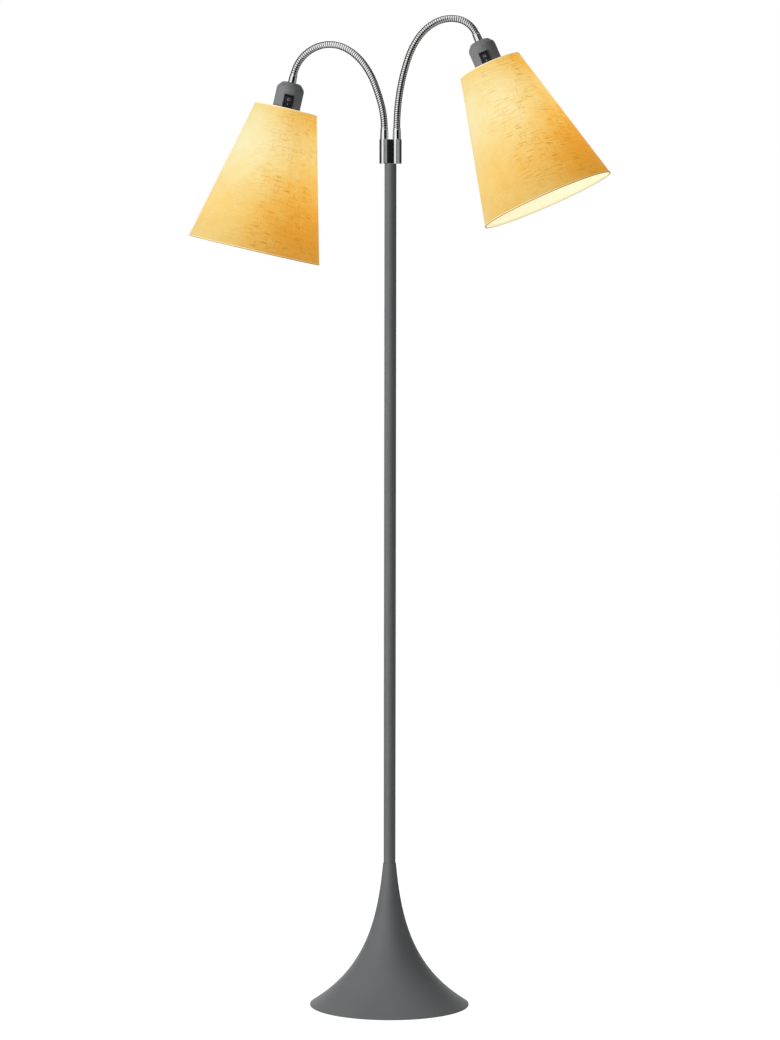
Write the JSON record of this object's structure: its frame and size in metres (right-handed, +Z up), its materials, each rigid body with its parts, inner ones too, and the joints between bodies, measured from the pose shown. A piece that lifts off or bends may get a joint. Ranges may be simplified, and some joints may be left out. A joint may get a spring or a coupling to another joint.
{
  "type": "twin gooseneck floor lamp",
  "caption": "Floor lamp with a trumpet foot, a thin upright stem and paired goosenecks that carry conical linen shades over screw-cap bulbs.",
  "frame": {"origin": "centre of the foot's underside, on the floor", "axes": "+Z up along the stem, -Y towards the switch side (the front), +X towards the higher arm"},
  "size_m": [0.6353, 0.2836, 1.4891],
  "materials": {
    "foot_and_stem_grey": "satin warm-grey powder coat",
    "cast_iron": "raw casting, dull",
    "zinc_steel": "zinc-plated, dull",
    "felt": "dark pressed felt",
    "rubber": "matt black",
    "chrome": "polished chrome",
    "wire_sleeve": "matt insulation",
    "holder_grey": "fine matt grey",
    "switch_black": "semi-gloss black",
    "insulator": "pale heat-proof plastic",
    "brass": "bright brass",
    "shade_linen": "slubby yellow linen, glowing when lit",
    "shade_lining": "smooth translucent cream film",
    "binding": "narrow woven tape",
    "coated_wire": "cream dipped wire",
    "bulb_metal": "thin pressed metal",
    "opal_glass": "opal white glass, lit"
  },
  "bodies": {
    "root": {"base_shell": "foot_and_stem_grey", "base_weight": "cast_iron", "base_plate": "zinc_steel", "felt_pad": "felt", "base_plate_screws": "zinc_steel", "cord_grommet": "rubber", "stem_tube": "foot_and_stem_grey", "stem_bottom_plug": "zinc_steel", "stem_top_plug": "zinc_steel", "stem_tie_nipple": "zinc_steel", "stem_washer": "zinc_steel", "stem_nut": "zinc_steel", "supply_wires": "wire_sleeve", "twin_hub": "chrome", "left_root_ferrule": "chrome", "left_neck_1": "chrome", "right_root_ferrule": "chrome", "right_neck_1": "chrome"},
    "left_arm_2": {"left_neck_2": "chrome"},
    "left_arm_3": {"left_neck_3": "chrome"},
    "left_arm_4": {"left_neck_4": "chrome"},
    "left_arm_5": {"left_neck_5": "chrome"},
    "left_arm_6": {"left_neck_6": "chrome"},
    "left_head": {"left_neck_7": "chrome", "left_tip_ferrule": "chrome", "left_holder_cap": "holder_grey", "left_holder_body": "holder_grey", "left_switch_body": "switch_black", "left_socket_insert": "insulator", "left_socket_contacts": "brass", "left_bulb_cap": "bulb_metal", "left_bulb_globe": "opal_glass", "left_shade_ring_nut": "holder_grey", "left_shade_frame": "coated_wire", "left_shade_fabric": "shade_linen", "left_shade_liner": "shade_lining", "left_shade_bindings": "binding", "left_shade_lower_ring": "coated_wire"},
    "left_rocker": {"left_switch_rocker": "switch_black"},
    "right_arm_2": {"right_neck_2": "chrome"},
    "right_arm_3": {"right_neck_3": "chrome"},
    "right_arm_4": {"right_neck_4": "chrome"},
    "right_arm_5": {"right_neck_5": "chrome"},
    "right_arm_6": {"right_neck_6": "chrome"},
    "right_head": {"right_neck_7": "chrome", "right_tip_ferrule": "chrome", "right_holder_cap": "holder_grey", "right_holder_body": "holder_grey", "right_switch_body": "switch_black", "right_socket_insert": "insulator", "right_socket_contacts": "brass", "right_bulb_cap": "bulb_metal", "right_bulb_globe": "opal_glass", "right_shade_ring_nut": "holder_grey", "right_shade_frame": "coated_wire", "right_shade_fabric": "shade_linen", "right_shade_liner": "shade_lining", "right_shade_bindings": "binding", "right_shade_lower_ring": "coated_wire"},
    "right_rocker": {"right_switch_rocker": "switch_black"}
  },
  "joints": [
    {"name": "left_bend_1", "type": "hinge", "parent": "root", "child": "left_arm_2", "pos_m": [-0.01377, 0.00129, 1.3556], "axis": [-0.284, -0.9588, 0], "range_deg": [-12, 4]},
    {"name": "left_sway_2", "type": "hinge", "parent": "left_arm_2", "child": "left_arm_3", "pos_m": [-0.02441, 0.00445, 1.38877], "axis": [0.889, -0.2633, 0.3746], "range_deg": [-20, 20]},
    {"name": "left_bend_3", "type": "hinge", "parent": "left_arm_3", "child": "left_arm_4", "pos_m": [-0.04113, 0.0094, 1.41898], "axis": [-0.284, -0.9588, 0], "range_deg": [-25, 4]},
    {"name": "left_sway_4", "type": "hinge", "parent": "left_arm_4", "child": "left_arm_5", "pos_m": [-0.06639, 0.01688, 1.44169], "axis": [0.4721, -0.1399, 0.8704], "range_deg": [-15, 15]},
    {"name": "left_bend_5", "type": "hinge", "parent": "left_arm_5", "child": "left_arm_6", "pos_m": [-0.0987, 0.02645, 1.449], "axis": [-0.284, -0.9588, 0], "range_deg": [-25, 4]},
    {"name": "left_sway_6", "type": "hinge", "parent": "left_arm_6", "child": "left_head", "pos_m": [-0.12915, 0.03547, 1.43568], "axis": [-0.6227, 0.1845, 0.7604], "range_deg": [-15, 15]},
    {"name": "left_switch_rock", "type": "hinge", "parent": "left_head", "child": "left_rocker", "pos_m": [-0.15466, 0.02517, 1.36347], "axis": [-0.9722, -0.0851, 0.218], "range_deg": [0, 22]},
    {"name": "right_bend_1", "type": "hinge", "parent": "root", "child": "right_arm_2", "pos_m": [0.01122, -0.00017, 1.35594], "axis": [0.0941, 0.9956, 0], "range_deg": [-12, 4]},
    {"name": "right_sway_2", "type": "hinge", "parent": "right_arm_2", "child": "right_arm_3", "pos_m": [0.01667, -0.00069, 1.39049], "axis": [0.9738, -0.0921, -0.2079], "range_deg": [-20, 20]},
    {"name": "right_bend_3", "type": "hinge", "parent": "right_arm_3", "child": "right_arm_4", "pos_m": [0.02583, -0.00155, 1.42424], "axis": [0.0941, 0.9956, 0], "range_deg": [-25, 4]},
    {"name": "right_sway_4", "type": "hinge", "parent": "right_arm_4", "child": "right_arm_5", "pos_m": [0.04133, -0.00302, 1.45546], "axis": [0.8205, -0.0776, -0.5664], "range_deg": [-15, 15]},
    {"name": "right_bend_5", "type": "hinge", "parent": "right_arm_5", "child": "right_arm_6", "pos_m": [0.06726, -0.00547, 1.4783], "axis": [0.0941, 0.9956, 0], "range_deg": [-25, 4]},
    {"name": "right_sway_6", "type": "hinge", "parent": "right_arm_6", "child": "right_head", "pos_m": [0.10114, -0.00867, 1.48263], "axis": [-0.2155, 0.0204, -0.9763], "range_deg": [-15, 15]},
    {"name": "right_switch_rock", "type": "hinge", "parent": "right_head", "child": "right_rocker", "pos_m": [0.1415, -0.03089, 1.4219], "axis": [-0.9083, 0.1277, -0.3984], "range_deg": [0, 22]}
  ]
}
